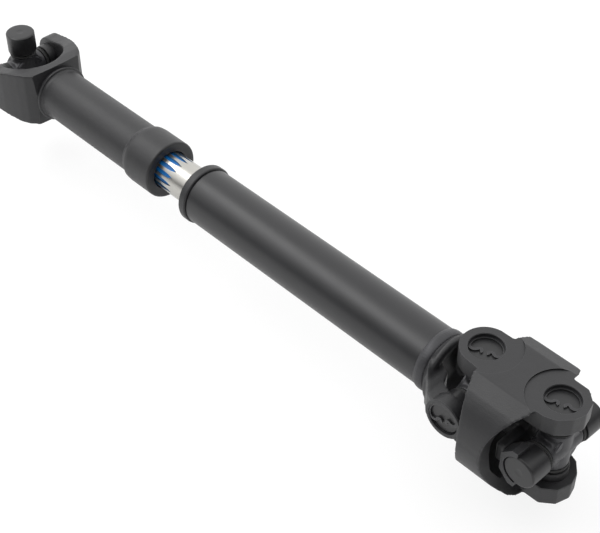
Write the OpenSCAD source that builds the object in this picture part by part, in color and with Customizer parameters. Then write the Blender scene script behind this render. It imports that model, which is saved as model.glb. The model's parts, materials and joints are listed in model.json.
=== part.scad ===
// Double-cardan universal joint drive shaft.
// X runs along the shaft from the single joint at the origin to the centred double joint,
// +Z is up. A joint's fork holds two of its cross's caps on Y or on Z, and the cross's
// other pair of caps is free, or sits in the next fork.

/* [Joints] */
// Outer diameter of a bearing cap
cap_d = 27; // [24:0.5:30]
// Distance over the outer faces of two opposite caps
cap_span = 81.8; // [78:0.2:92]
// Length of a bearing cap along its trunnion
cap_length = 19.4; // [16:0.2:20]
// Thickness of a bearing cap's closed end
cap_floor = 3.4; // [2:0.2:5]
// Diameter of a cross's trunnion
trunnion_d = 16.8; // [14:0.2:17.6]
// Diameter of a needle roller
needle_d = 2.4; // [1.6:0.1:2.8]
// Diameter of a cross's shoulder under its seal
shoulder_d = 24.4; // [20:0.2:25]
// Diameter of the flat round boss on a cross's face
boss_d = 32; // [26:1:34]
// Height of that boss above the cross's centre
boss_h = 10.3; // [8:0.1:11.5]
// Diameter of the grease ways drilled in a cross
grease_way_d = 3.2; // [2:0.2:4]
// Thickness of a snap ring
ring_t = 1.5; // [1:0.1:2]
// Depth of a snap ring's groove
ring_groove = 0.9; // [0.6:0.1:1.2]
// Width of a snap ring across its band
ring_band = 2.6; // [1.8:0.1:3.5]

/* [Forks] */
// Height of the slip yoke's ears beyond the ends of its caps
ear_rise = 4.1; // [3.5:0.1:8]
// Height of the tube yoke's ears beyond the ends of its caps
tube_ear_rise = 2.2; // [2:0.1:8]
// Thickness of the slip yoke's ear at its bore
ear_t = 13.5; // [10:0.5:15]
// Wall of the slip yoke's ear round its bore
slip_ear_wall = 5.5; // [3.5:0.5:8]
// Wall of the tube yoke's ear round its bore
tube_ear_wall = 3.9; // [3:0.1:6]
// Half width of the slip yoke's fork where it meets the barrel
slip_base_half = 35; // [30:0.5:38]
// Half width of the tube yoke's fork where it meets the tube
tube_base_half = 26; // [25:0.5:29]
// Depth of the slip yoke's crotch from the joint's centre
slip_crotch = 46; // [43:1:52]
// Depth of the tube yoke's crotch from the joint's centre
tube_crotch = 27; // [25:0.5:29]

/* [Slip joint] */
// Diameter of the slip yoke's barrel
barrel_d = 47.8; // [44:0.2:56]
// Place of the barrel's far end
barrel_end = 200; // [180:1:204]
// Diameter of the splined stub shaft
spline_d = 35; // [30:0.5:36]
// Number of splines
spline_count = 16; // [10:2:20]
// Depth of a spline groove
spline_depth = 2.3; // [1.5:0.1:2.8]
// Width of a spline groove
spline_w = 3.4; // [2:0.1:3.6]
// Thickness of the low-friction coating in the grooves
coating_t = 0.4; // [0.2:0.1:0.6]
// Place of the stub shaft's inner end
stub_start = 95; // [92:1:130]
// Place where the spline grooves run out
spline_end = 241.5; // [234:0.5:250]
// Diameter of the seal housing
housing_d = 54.4; // [52:0.2:62]
// Length of the seal housing
housing_length = 33; // [26:1:34]

/* [Tube] */
// Outer diameter of the tube
tube_d = 50.8; // [46:0.2:54]
// Wall of the tube
tube_wall = 3.05; // [1.5:0.05:5]
// Place of the tube's end at the stub shaft
tube_start = 270; // [266:1:300]
// Place of the double joint's first cross
first_cross_x = 581.5; // [480:0.5:900]
// Distance from the tube's other end to that cross
tube_yoke_length = 41.5; // [38:0.5:60]
// Height of the weld beads above the tube
weld_h = 1.6; // [0.8:0.1:2.4]

/* [Double joint] */
// Distance between the double joint's two crosses
cross_gap = 69.5; // [68:0.5:84]
// Least thickness of the centre yoke's side walls
centre_wall = 8; // [7:0.5:14]
// Height of the centre yoke's flats beyond the ends of its caps
flat_rise = 6.1; // [5:0.1:9]
// Depth of the spot faces in those flats
spot_depth = 1.4; // [0.6:0.1:2]
// Radius of those spot faces
spot_r = 27.5; // [24:0.5:30]
// Wall of the centre yoke's ears round their bores
centre_ear_wall = 6.5; // [5:0.5:8]
// Length of the centre yoke's side walls along the shaft
side_wall = 23; // [16:1:24]
// Diameter of the centring ball
ball_d = 17; // [15:0.5:18]
// Outer diameter of the centring yoke's socket
socket_d = 31; // [30:0.5:33]
// Diameter of the wire of the socket's spring
spring_wire = 1.4; // [1:0.1:1.5]

/* [Hidden] */
$fn = 64;

// Clearances: press seats in one body, running fits, and gaps between bodies
seat_gap = 0.01;
run_gap = 0.03;
body_gap = 0.3;

// Values worked out from the sizes above
cap_r = cap_d / 2;
cap_out = cap_span / 2;
cap_in = cap_out - cap_length;
trunnion_r = trunnion_d / 2;
trunnion_end = cap_out - cap_floor - body_gap;
needle_pitch_r = trunnion_r + needle_d / 2 + run_gap;
cavity_r = trunnion_r + needle_d + 2 * run_gap;
needle_count = floor(180 / asin((needle_d + 2 * run_gap) / (2 * needle_pitch_r)));
needle_ends = 0.6;
cap_chamfer = 0.8;
bore_r = cap_r + seat_gap;
seal_t = 3.6;
seal_end = cap_in - body_gap;
shoulder_end = seal_end - seal_t;
ear_out = cap_out + ear_rise;
tube_ear_out = cap_out + tube_ear_rise;
slip_ear_r = cap_r + slip_ear_wall;
tube_ear_r = cap_r + tube_ear_wall;
centre_ear_r = cap_r + centre_ear_wall;
ear_in = ear_out - ear_t;
centre_flat = cap_out + flat_rise;
spot_z = centre_flat - spot_depth;
// The hollow in the centre yoke clears the caps' ends, and a fork's ears as they turn
hollow_y = cap_out + 0.1;
hollow_r = ear_out;
centre_r = hollow_r + centre_wall;
second_cross_x = first_cross_x + cross_gap;
ball_x = first_cross_x + cross_gap / 2;
tube_r = tube_d / 2;
tube_end = first_cross_x - tube_yoke_length;
pilot_r = tube_r - tube_wall;
spline_r = spline_d / 2;
barrel_r = barrel_d / 2;
neck_r = spline_r + 4;
rim_length = 7.5;
seal_bulge = 0.6;
// The nipple's boss passes between the lower edges of two seals, and its hexagon clears
// their widest parts
nipple_gap = 0.2;
nipple_hex_d = 8.2;
nipple_boss_r = (shoulder_end - shoulder_d / 2) / sqrt(2) - nipple_gap;
nipple_seat = (shoulder_d / 2 + seal_bulge) * sqrt(2) + nipple_hex_d / 2 + nipple_gap;
// A nipple between two trunnions, and one that leans out of the single joint's end
between_turn = [135, 0, 0];
outward_turn = [0, -45, 0];
boundary = 80;

// Puts children, drawn along +Z, along +Y, -Y, +Z or -Z
module toward(way) {
    turn = way == "+y" ? [-90, 0, 0] : way == "-y" ? [90, 0, 0] : way == "-z" ? [180, 0, 0] : [0, 0, 0];
    rotate(turn) children();
}

// Repeats children on the four trunnions, or on a pair of them
module on_pair(axis) {
    toward(str("+", axis)) children();
    toward(str("-", axis)) children();
}

// Turns a profile of [x, radius] points about the shaft's axis
module turned(profile) {
    rotate([0, 90, 0]) rotate_extrude() polygon([for (p = profile) [p[1], p[0]]]);
}

// A cylinder along the shaft's axis from x0 to x1
module rod(x0, x1, r) {
    translate([x0, 0, 0]) rotate([0, 90, 0]) cylinder(h = x1 - x0, r = r);
}

// ---- Pieces that every joint shares ----

module bearing_cap() {
    rotate_extrude() polygon([
        [0, cap_out], [cap_r - cap_chamfer, cap_out], [cap_r, cap_out - cap_chamfer],
        [cap_r, cap_in], [cavity_r, cap_in], [cavity_r, cap_out - cap_floor],
        [0, cap_out - cap_floor]]);
}

module needle_set() {
    z0 = cap_in + needle_ends;
    z1 = cap_out - cap_floor - needle_ends;
    for (i = [0 : needle_count - 1])
        rotate(i * 360 / needle_count)
            translate([needle_pitch_r, 0, z0]) cylinder(h = z1 - z0, r = needle_d / 2, $fn = 16);
}

module trunnion_seal() {
    lip = 2 * seal_bulge;
    r_out = shoulder_d / 2;
    rotate_extrude() polygon([
        [trunnion_r, shoulder_end], [r_out, shoulder_end], [r_out + seal_bulge, shoulder_end + lip],
        [r_out, seal_end - seal_bulge], [r_out - lip, seal_end], [trunnion_r, seal_end]]);
}

// An open ring that springs out into its groove, with its gap toward +X
module snap_ring() {
    z0 = cap_out + seat_gap;
    r_out = bore_r + ring_groove - seat_gap;
    gap_w = 9;
    difference() {
        translate([0, 0, z0]) cylinder(h = ring_t, r = r_out);
        translate([0, 0, z0 - 1]) cylinder(h = ring_t + 2, r = r_out - ring_band);
        translate([0, -gap_w / 2, z0 - 1]) cube([r_out + 1, gap_w, ring_t + 2]);
    }
    for (side = [-1, 1])
        translate([sqrt(pow(r_out - ring_band, 2) - pow(gap_w / 2 + ring_band / 2, 2)),
                   side * (gap_w / 2 + ring_band / 2), z0])
            difference() {
                cylinder(h = ring_t, r = ring_band * 0.75);
                translate([0, 0, -1]) cylinder(h = ring_t + 2, r = ring_band * 0.3);
            }
}

// The hole that an ear needs for its cap and snap ring
module ear_bore(face) {
    chamfer = 0.6;
    cylinder(h = face + 5, r = bore_r);
    translate([0, 0, cap_out]) cylinder(h = ring_t + 2 * seat_gap, r = bore_r + ring_groove);
    translate([0, 0, face - chamfer]) cylinder(h = 5, r = bore_r + chamfer);
}

// nipple_turn turns +Z to the way in which the grease nipple points
module cross_body(nipple_turn) {
    difference() {
        union() {
            for (axis = ["y", "z"]) on_pair(axis) {
                cylinder(h = trunnion_end, r = trunnion_r);
                cylinder(h = shoulder_end, r = shoulder_d / 2 - 0.2);
            }
            rod(-boss_h, boss_h, boss_d / 2);
            rotate(nipple_turn) cylinder(h = nipple_seat, r = nipple_boss_r);
        }
        for (axis = ["y", "z"]) on_pair(axis) cylinder(h = trunnion_end + 1, r = grease_way_d / 2);
    }
}

module cross_seals() {
    for (axis = ["y", "z"]) on_pair(axis) trunnion_seal();
}

// A grease nipple on its boss
module nipple(nipple_turn) {
    rotate(nipple_turn) translate([0, 0, nipple_seat + seat_gap]) nipple_shape();
}

module nipple_shape() {
    hex_h = 2.4;
    stem_r = 2.2;
    cylinder(h = hex_h, d = nipple_hex_d, $fn = 6);
    translate([0, 0, hex_h]) rotate_extrude() polygon([
        [0, 0], [stem_r, 0], [stem_r, 1.4], [stem_r + 0.7, 2.6], [stem_r, 3.8], [1.4, 4.8], [0, 4.8]]);
}

// ---- Tube and its ends ----

module main_tube() {
    color("dimgray") difference() {
        rod(tube_start, tube_end, tube_r);
        rod(tube_start - 1, tube_end + 1, pilot_r + seat_gap);
    }
}

module weld_bead(x0, x1) {
    edge = 1.8;
    turned([[x0, tube_r + seat_gap], [x0, tube_r + weld_h * 0.4], [x0 + edge, tube_r + weld_h],
            [x1 - edge, tube_r + weld_h], [x1, tube_r + weld_h * 0.4], [x1, tube_r + seat_gap]]);
}

// One spline groove, or the rib that runs in it when it is drawn smaller
module spline_groove(x0, x1, depth, w) {
    translate([x0, -w / 2, spline_r - depth]) cube([x1 - x0, w, depth + 2]);
}

module each_spline() {
    for (i = [0 : spline_count - 1])
        rotate([(i + 0.5) * 360 / spline_count + 90, 0, 0]) children();
}

module stub_shaft() {
    collar_x = tube_start - rim_length;
    pilot_length = 20;
    chamfer = 2.5;
    color("silver") difference() {
        turned([[stub_start, 0], [stub_start, spline_r - chamfer], [stub_start + chamfer, spline_r],
                [collar_x, spline_r], [collar_x, tube_r], [tube_start, tube_r],
                [tube_start, pilot_r], [tube_start + pilot_length, pilot_r],
                [tube_start + pilot_length, 0]]);
        each_spline() spline_groove(stub_start - 1, spline_end, spline_depth, spline_w);
    }
}

module spline_coating() {
    x0 = stub_start + 4;
    color("dodgerblue") each_spline()
        translate([x0, -spline_w / 2 + seat_gap, spline_r - spline_depth + seat_gap])
            cube([spline_end - x0 - seat_gap, spline_w - 2 * seat_gap, coating_t]);
}

module stub_weld_bead() {
    color("dimgray") weld_bead(tube_start - rim_length, tube_start + 1);
}

module yoke_weld_bead() {
    color("dimgray") weld_bead(tube_end - 5, tube_end + 5);
}

// The U-shaped opening of a fork, open toward +X, with its floor at -depth
module fork_opening(depth) {
    linear_extrude(height = 2 * boundary, center = true) union() {
        translate([ear_in - depth, 0]) circle(r = ear_in, $fn = 96);
        translate([ear_in - depth, -ear_in]) square([boundary, 2 * ear_in]);
    }
}

// Ears seen along the bore: a round end, and straps that widen to the base at -length
module ear_outline(r, length, base_half) {
    rotate([90, 0, 0]) linear_extrude(height = 2 * boundary, center = true) union() {
        circle(r = r, $fn = 96);
        polygon([[0, r], [-length, base_half], [-length, -base_half], [0, -r]]);
    }
}

// The bridge that carries the ball stud stands just clear of the fork's caps
tube_bridge_in = cap_r + 1.3;
tube_bridge_out = tube_bridge_in + 6.7;
stud_r = 5.5;
neck_pin_r = 4.4;
stud_reach = 7;

module tube_yoke() {
    bridge_half = 8.5;
    color("dimgray") translate([first_cross_x, 0, 0]) difference() {
        union() {
            intersection() {
                ear_outline(tube_ear_r, tube_yoke_length - 6, tube_base_half);
                linear_extrude(height = 2 * boundary, center = true) polygon(concat(
                    tube_fork_side(1), tube_fork_side(-1)));
            }
            turned([[-tube_yoke_length - 20, 0], [-tube_yoke_length - 20, pilot_r],
                    [-tube_yoke_length, pilot_r], [-tube_yoke_length, tube_r],
                    [-tube_yoke_length + 6, tube_r], [-tube_crotch - 6, tube_r + 2],
                    [-tube_crotch - 3, tube_r + 5], [-tube_crotch + 4, tube_r + 1], [-tube_crotch + 4, 0]]);
        }
        fork_opening(tube_crotch);
        on_pair("y") ear_bore(tube_ear_out);
    }
    color("dimgray") translate([first_cross_x, 0, 0]) difference() {
        intersection() {
            translate([tube_bridge_in, -ear_out, -bridge_half])
                cube([tube_bridge_out - tube_bridge_in, 2 * ear_out, 2 * bridge_half]);
            cylinder(h = boundary, r = tube_ear_out - 2, center = true, $fn = 96);
        }
        rod(tube_bridge_in - 1, tube_bridge_out + 1, stud_r + seat_gap);
    }
}

// One side of the tube yoke seen from above
function tube_fork_side(s) = let (p = [
    [-tube_yoke_length + 6, tube_r], [-tube_crotch - 6, tube_r + 2], [-tube_crotch + 2, tube_r + 8],
    [-tube_crotch + 7.5, tube_ear_out - 4], [-tube_crotch + 12, tube_ear_out],
    [tube_ear_r - 5, tube_ear_out], [tube_ear_r + 1, tube_ear_out - 4], [tube_ear_r + 1, 0]])
    s > 0 ? [for (q = p) q] : [for (i = [len(p) - 1 : -1 : 0]) [p[i][0], -p[i][1]]];

module ball_stud() {
    color("gray") translate([first_cross_x, 0, 0]) {
        rod(tube_bridge_in, tube_bridge_out, stud_r);
        rod(tube_bridge_out, cross_gap / 2 + stud_reach, neck_pin_r);
    }
}

module centring_ball() {
    color("gray") translate([ball_x, 0, 0]) rotate([0, 90, 0]) rotate_extrude() difference() {
        circle(d = ball_d, $fn = 96);
        translate([-ball_d, -ball_d]) square([ball_d + neck_pin_r + seat_gap, 2 * ball_d]);
    }
}

module tube_yoke_caps() {
    color("dimgray") translate([first_cross_x, 0, 0]) on_pair("y") bearing_cap();
}

module tube_yoke_snap_rings() {
    color("darkgray") translate([first_cross_x, 0, 0]) on_pair("y") snap_ring();
}

module tube_yoke_needles() {
    color("silver") translate([first_cross_x, 0, 0]) on_pair("y") needle_set();
}

// ---- Slip yoke ----

plug_x = slip_crotch + 5;
plug_r = spline_r + 1.2;
plug_t = 2;
relief_end = slip_crotch + 36;
// Where the barrel steps down into the seal housing
housing_start = barrel_end - 12;
housing_lip = 3;
seal_room_r = neck_r + 2.5;

function slip_fork_side(s) = let (p = [
    [-slip_ear_r - 1, ear_out - 2.5], [-slip_ear_r + 3, ear_out], [slip_crotch - 20, ear_out],
    [slip_crotch - 11, ear_out - 2], [slip_crotch - 4, ear_out - 5], [slip_crotch + 4, ear_out - 9],
    [slip_crotch + 14, ear_out - 14], [slip_crotch + 19, ear_out - 17], [slip_crotch + 19, 0]])
    s > 0 ? [for (i = [0 : len(p) - 1]) p[i]] : [for (i = [len(p) - 1 : -1 : 0]) [p[i][0], -p[i][1]]];

// The outside of the slip yoke's fork: it falls in a hollow curve from its rim to the barrel
module fork_back() {
    turned([[-boundary, 0], [-boundary, ear_out + 5], [slip_crotch - 7, ear_out + 5],
            [slip_crotch - 3, barrel_r + 19.6], [slip_crotch, barrel_r + 15.6],
            [slip_crotch + 6, barrel_r + 9.9], [slip_crotch + 9, barrel_r + 7.1],
            [slip_crotch + 12, barrel_r + 5.3], [slip_crotch + 19, barrel_r + 3.1],
            [slip_crotch + 19, 0]]);
}

module slip_yoke() {
    color("dimgray") difference() {
        union() {
            intersection() {
                mirror([1, 0, 0]) ear_outline(slip_ear_r, slip_crotch + 19, slip_base_half);
                linear_extrude(height = 2 * boundary, center = true)
                    polygon(concat(slip_fork_side(1), slip_fork_side(-1)));
                fork_back();
            }
            turned([[slip_crotch - 4, 0], [slip_crotch - 4, barrel_r + 4], [slip_crotch + 18, barrel_r + 3.1],
                    [slip_crotch + 27, barrel_r + 3.1], [slip_crotch + 30, barrel_r + 0.6],
                    [slip_crotch + 35, barrel_r], [housing_start, barrel_r],
                    [housing_start, neck_r], [barrel_end, neck_r], [barrel_end, 0]]);
        }
        mirror([1, 0, 0]) fork_opening(slip_crotch);
        on_pair("y") ear_bore(ear_out);
        // Plug seat, relief behind the splines, and the splined bore
        rod(slip_crotch - 6, plug_x + plug_t, plug_r + seat_gap);
        rod(plug_x, relief_end, spline_r + 0.6);
        difference() {
            rod(relief_end - 1, barrel_end + 1, spline_r + run_gap);
            each_spline() spline_groove(relief_end, barrel_end,
                spline_depth - coating_t - 0.2, spline_w - 2 * run_gap);
        }
    }
}

module barrel_plug() {
    color("dimgray") rod(plug_x, plug_x + plug_t, plug_r);
}

module seal_housing() {
    x1 = housing_start + housing_length;
    shoulder = 6;
    edge = 1.5;
    r = housing_d / 2;
    color("dimgray") turned([
        [housing_start + seat_gap, neck_r + seat_gap], [housing_start + seat_gap, barrel_r + 0.3],
        [housing_start + shoulder, r], [x1 - edge, r], [x1, r - edge],
        [x1, spline_r + body_gap], [x1 - housing_lip, spline_r + body_gap],
        [x1 - housing_lip, seal_room_r], [barrel_end, seal_room_r],
        [barrel_end, neck_r + seat_gap]]);
}

module slip_seal() {
    x1 = housing_start + housing_length - housing_lip;
    color("black") difference() {
        rod(barrel_end + seat_gap, x1 - seat_gap, seal_room_r - seat_gap);
        rod(barrel_end - 1, x1 + 1, spline_r + 0.08);
    }
}

module slip_yoke_caps() {
    color("dimgray") on_pair("y") bearing_cap();
}

module slip_yoke_snap_rings() {
    color("darkgray") on_pair("y") snap_ring();
}

module slip_yoke_needles() {
    color("silver") on_pair("y") needle_set();
}

// ---- Single joint's cross and free caps ----

module single_cross() {
    color("gray") cross_body(outward_turn);
}

module single_cross_seals() {
    color("black") cross_seals();
}

module single_cross_nipple() {
    color("silver") nipple(outward_turn);
}

module upper_free_cap() {
    color("dimgray") toward("+z") bearing_cap();
}

module upper_cap_needles() {
    color("silver") toward("+z") needle_set();
}

module lower_free_cap() {
    color("dimgray") toward("-z") bearing_cap();
}

module lower_cap_needles() {
    color("silver") toward("-z") needle_set();
}

// ---- Double joint: crosses ----

module inboard_cross() {
    color("gray") translate([first_cross_x, 0, 0]) cross_body(between_turn);
}

module inboard_cross_seals() {
    color("black") translate([first_cross_x, 0, 0]) cross_seals();
}

module inboard_cross_nipple() {
    color("silver") translate([first_cross_x, 0, 0]) nipple(between_turn);
}

module outboard_cross() {
    color("gray") translate([second_cross_x, 0, 0]) cross_body(between_turn);
}

module outboard_cross_seals() {
    color("black") translate([second_cross_x, 0, 0]) cross_seals();
}

module outboard_cross_nipple() {
    color("silver") translate([second_cross_x, 0, 0]) nipple(between_turn);
}

// ---- Double joint: centre yoke ----

module at_both_crosses() {
    for (x = [first_cross_x, second_cross_x]) translate([x, 0, 0]) children();
}

module centre_yoke() {
    body_start = 7;
    // Radius of the round window in the side walls, and its centre
    window_r = 75;
    wall_x = (cross_gap - side_wall) / 2;
    color("dimgray") difference() {
        intersection() {
            union() {
                difference() {
                    translate([first_cross_x + body_start, -boundary, -boundary])
                        cube([cross_gap - 2 * body_start, 2 * boundary, 2 * boundary]);
                    for (x = [first_cross_x + wall_x - window_r, second_cross_x - wall_x + window_r])
                        translate([x, 0, 0]) rotate([90, 0, 0])
                            cylinder(h = 2 * boundary, r = window_r, center = true, $fn = 128);
                }
                at_both_crosses() cylinder(h = 2 * boundary, r = centre_ear_r, center = true);
                translate([first_cross_x, -centre_ear_r, -boundary])
                    cube([cross_gap, 2 * centre_ear_r, 2 * boundary]);
            }
            rod(first_cross_x - boundary, second_cross_x + boundary, centre_r);
            translate([ball_x - 2 * boundary, -boundary, -centre_flat])
                cube([4 * boundary, 2 * boundary, 2 * centre_flat]);
        }
        intersection() {
            translate([ball_x - 2 * boundary, -hollow_y, -ear_in])
                cube([4 * boundary, 2 * hollow_y, 2 * ear_in]);
            rod(first_cross_x - boundary, second_cross_x + boundary, hollow_r);
        }
        at_both_crosses() on_pair("z") {
            ear_bore(spot_z);
            translate([0, 0, spot_z]) cylinder(h = 10, r = spot_r);
        }
    }
}

module centre_yoke_caps() {
    color("dimgray") at_both_crosses() on_pair("z") bearing_cap();
}

module centre_yoke_snap_rings() {
    color("darkgray") at_both_crosses() on_pair("z") snap_ring();
}

module centre_yoke_needles() {
    color("silver") at_both_crosses() on_pair("z") needle_set();
}

// ---- Double joint: centring yoke and what its socket holds ----

socket_r = socket_d / 2;
socket_cavity_r = socket_r - 3;
socket_mouth = ball_x - 4.5;
socket_back = second_cross_x - cap_r - 3;
socket_floor = socket_back - 3;
seat_back = ball_x + ball_d / 2 + 0.8;
washer_t = 1;
saddle_wall = 3.6;

module centring_yoke() {
    arm_half = 9;
    arm_t = 8.5;
    saddle_in = cap_out - 12;
    saddle_out = cap_out + 0.6;
    arm_out = saddle_in + 8;
    color("dimgray") difference() {
        union() {
            rod(socket_mouth, socket_back, socket_r);
            translate([socket_back - arm_t, -arm_out, -arm_half])
                cube([arm_t, 2 * arm_out, 2 * arm_half]);
            translate([second_cross_x, 0, 0]) on_pair("y") translate([0, 0, saddle_in])
                difference() {
                    cylinder(h = saddle_out - saddle_in, r = cap_r + seat_gap + saddle_wall);
                    translate([-3, -boundary, -1]) cube([boundary, 2 * boundary, boundary]);
                }
        }
        rod(socket_mouth - 1, socket_floor, socket_cavity_r);
        translate([second_cross_x, 0, 0]) on_pair("y") cylinder(h = boundary, r = cap_r + seat_gap);
    }
}

// Two half shells that hold the ball and let it slide a little along the socket
module ball_seats() {
    slide_gap = 0.6;
    split = 0.4;
    color("lightgray") difference() {
        rod(socket_mouth + 1, seat_back, socket_cavity_r - seat_gap);
        translate([ball_x, 0, 0]) sphere(r = ball_d / 2 + slide_gap, $fn = 96);
        rod(socket_mouth, ball_x, ball_d / 2 + slide_gap);
        translate([socket_mouth, -boundary, -split / 2]) cube([boundary, 2 * boundary, split]);
    }
}

module seat_washer() {
    color("silver") difference() {
        rod(seat_back + seat_gap, seat_back + washer_t, socket_cavity_r - seat_gap);
        rod(seat_back, seat_back + 2, 4);
    }
}

// A round wire wound as a helix, closed by flat ends
module centring_spring() {
    turns = 2.5;
    steps = 60;
    sides = 8;
    coil_r = socket_cavity_r - spring_wire;
    x0 = seat_back + washer_t + spring_wire / 2 + seat_gap;
    x1 = socket_floor - spring_wire / 2 - seat_gap;
    ring_points = [for (i = [0 : steps]) let (a = 360 * turns * i / steps, x = x0 + (x1 - x0) * i / steps)
        for (j = [0 : sides - 1]) let (b = 360 * j / sides, r = coil_r + spring_wire / 2 * cos(b))
            [x + spring_wire / 2 * sin(b), r * cos(a), r * sin(a)]];
    faces = concat(
        [[for (j = [0 : sides - 1]) j]],
        [for (i = [0 : steps - 1]) for (j = [0 : sides - 1]) let (k = (j + 1) % sides)
            [i * sides + j, (i + 1) * sides + j, (i + 1) * sides + k, i * sides + k]],
        [[for (j = [sides - 1 : -1 : 0]) steps * sides + j]]);
    color("silver") polyhedron(ring_points, faces);
}

module socket_seal() {
    t = 1;
    color("black") difference() {
        rod(socket_mouth + seat_gap, socket_mouth + t - seat_gap, socket_cavity_r - seat_gap);
        rod(socket_mouth - 1, socket_mouth + 2, ball_d / 2 + 1.2);
    }
}

module outer_free_caps() {
    color("dimgray") translate([second_cross_x, 0, 0]) on_pair("y") bearing_cap();
}

module outer_cap_needles() {
    color("silver") translate([second_cross_x, 0, 0]) on_pair("y") needle_set();
}

main_tube();
stub_shaft();
spline_coating();
stub_weld_bead();
tube_yoke();
yoke_weld_bead();
ball_stud();
centring_ball();
tube_yoke_caps();
tube_yoke_snap_rings();
tube_yoke_needles();
slip_yoke();
barrel_plug();
seal_housing();
slip_seal();
slip_yoke_caps();
slip_yoke_snap_rings();
slip_yoke_needles();
single_cross();
single_cross_seals();
single_cross_nipple();
upper_free_cap();
upper_cap_needles();
lower_free_cap();
lower_cap_needles();
inboard_cross();
inboard_cross_seals();
inboard_cross_nipple();
centre_yoke();
centre_yoke_caps();
centre_yoke_snap_rings();
centre_yoke_needles();
outboard_cross();
outboard_cross_seals();
outboard_cross_nipple();
centring_yoke();
ball_seats();
seat_washer();
centring_spring();
socket_seal();
outer_free_caps();
outer_cap_needles();
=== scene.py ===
# %% [markdown]
# # A double-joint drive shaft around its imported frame
# The CAD model is loaded first as a fixed frame. Every piece below is modelled in the
# same frame, in metres, and then rides on the CAD body that carries it.
# %% Load the frame
import json
import math

import bpy
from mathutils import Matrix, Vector

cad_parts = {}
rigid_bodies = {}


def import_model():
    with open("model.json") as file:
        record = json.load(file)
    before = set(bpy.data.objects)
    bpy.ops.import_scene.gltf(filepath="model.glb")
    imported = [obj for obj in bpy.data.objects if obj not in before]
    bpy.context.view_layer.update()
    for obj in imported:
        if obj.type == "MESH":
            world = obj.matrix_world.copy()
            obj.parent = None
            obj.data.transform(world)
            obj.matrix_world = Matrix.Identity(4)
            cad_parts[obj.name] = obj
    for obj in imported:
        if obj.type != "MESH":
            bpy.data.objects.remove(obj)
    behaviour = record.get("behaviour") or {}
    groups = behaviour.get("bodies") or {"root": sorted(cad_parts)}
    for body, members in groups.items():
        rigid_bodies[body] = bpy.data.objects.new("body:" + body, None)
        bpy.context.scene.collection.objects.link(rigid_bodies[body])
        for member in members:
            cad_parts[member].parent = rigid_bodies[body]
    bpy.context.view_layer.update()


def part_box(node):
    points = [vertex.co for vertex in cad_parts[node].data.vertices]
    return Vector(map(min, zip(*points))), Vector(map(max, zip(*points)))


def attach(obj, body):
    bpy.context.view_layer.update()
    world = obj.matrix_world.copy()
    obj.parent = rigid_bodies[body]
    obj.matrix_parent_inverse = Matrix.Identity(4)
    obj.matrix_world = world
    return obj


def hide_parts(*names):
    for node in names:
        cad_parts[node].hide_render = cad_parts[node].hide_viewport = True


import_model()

MM = 0.001

# %% [markdown]
# ## Sizes read from the frame
# Joints, caps, tube and flats are measured from the CAD nodes, so the pieces made here
# cannot drift from them. All later lengths are written in millimetres and scaled once.
# %% Measure the frame


def span(node, axis):
    """Lowest and highest place of a CAD node along an axis, in millimetres."""
    low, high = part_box(node)
    return low[axis] / MM, high[axis] / MM


cap_r = span("upper_free_cap", 0)[1]
cap_in, cap_out = span("upper_free_cap", 2)
ear_thick = 13.5
ear_out = span("tube_yoke", 1)[1]
ear_in = ear_out - ear_thick
tube_r = span("main_tube", 1)[1]
tube_start, tube_end = span("main_tube", 0)
first_x = sum(span("inboard_cross", 0)) / 2
second_x = sum(span("outboard_cross", 0)) / 2
middle_x = (first_x + second_x) / 2
centre_r = span("centre_yoke", 1)[1]
centre_flat = span("centre_yoke", 2)[1]
trunnion_end = span("single_cross", 2)[1]
housing_start, housing_end = span("seal_housing", 0)
housing_r = span("seal_housing", 1)[1]
spline_end = span("spline_coating", 0)[1]
spline_start = span("stub_shaft", 0)[0]
print("joints at 0,", first_x, "and", second_x, "mm; cap radius", cap_r)

# %% [markdown]
# ## Small tools for modelling
# Each one does what a modeller does by hand: pick a piece, add a primitive, edit its
# mesh, apply a modifier. They keep every later cell short.
# %% Picking pieces and applying modifiers


def pick(obj):
    """Makes obj the one selected and active object."""
    bpy.ops.object.select_all(action="DESELECT")
    obj.select_set(True)
    bpy.context.view_layer.objects.active = obj


def apply_modifier(obj, kind, **settings):
    """Adds a modifier with its settings and applies it at once."""
    pick(obj)
    modifier = obj.modifiers.new(kind.lower(), kind)
    for name, value in settings.items():
        setattr(modifier, name, value)
    bpy.ops.object.modifier_apply(modifier=modifier.name)
    return obj


def settle(obj):
    """Writes an object's place and turn into its mesh, so that its origin is the frame's."""
    pick(obj)
    bpy.ops.object.transform_apply(location=True, rotation=True, scale=True)
    return obj


TURNS = {
    "x": (0, math.pi / 2, 0),
    "-x": (0, -math.pi / 2, 0),
    "y": (-math.pi / 2, 0, 0),
    "-y": (math.pi / 2, 0, 0),
    "z": (0, 0, 0),
    "-z": (math.pi, 0, 0),
}


def place(obj, along="z", at=(0, 0, 0)):
    """Turns a piece made along +Z to another axis and moves it to a place in millimetres."""
    obj.rotation_euler = TURNS[along]
    obj.location = Vector(at) * MM
    return settle(obj)


print("pieces can be turned along", list(TURNS))

# %% [markdown]
# ### Round and square solids
# Most parts of a shaft start on a lathe or as a bar, so a cylinder and a box are the
# first stock. The same two serve as drills and as milling cutters.
# %% Solids for building and cutting


def cylinder(start, end, radius, along="z", at=(0, 0, 0), end_radius=None, sides=96):
    """A cylinder or cone from start to end along an axis, in millimetres."""
    bpy.ops.object.select_all(action="DESELECT")
    bpy.ops.mesh.primitive_cone_add(
        vertices=sides,
        radius1=radius * MM,
        radius2=(radius if end_radius is None else end_radius) * MM,
        depth=(end - start) * MM,
        location=(0, 0, (start + end) / 2 * MM),
    )
    return place(settle(bpy.context.object), along, at)


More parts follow.
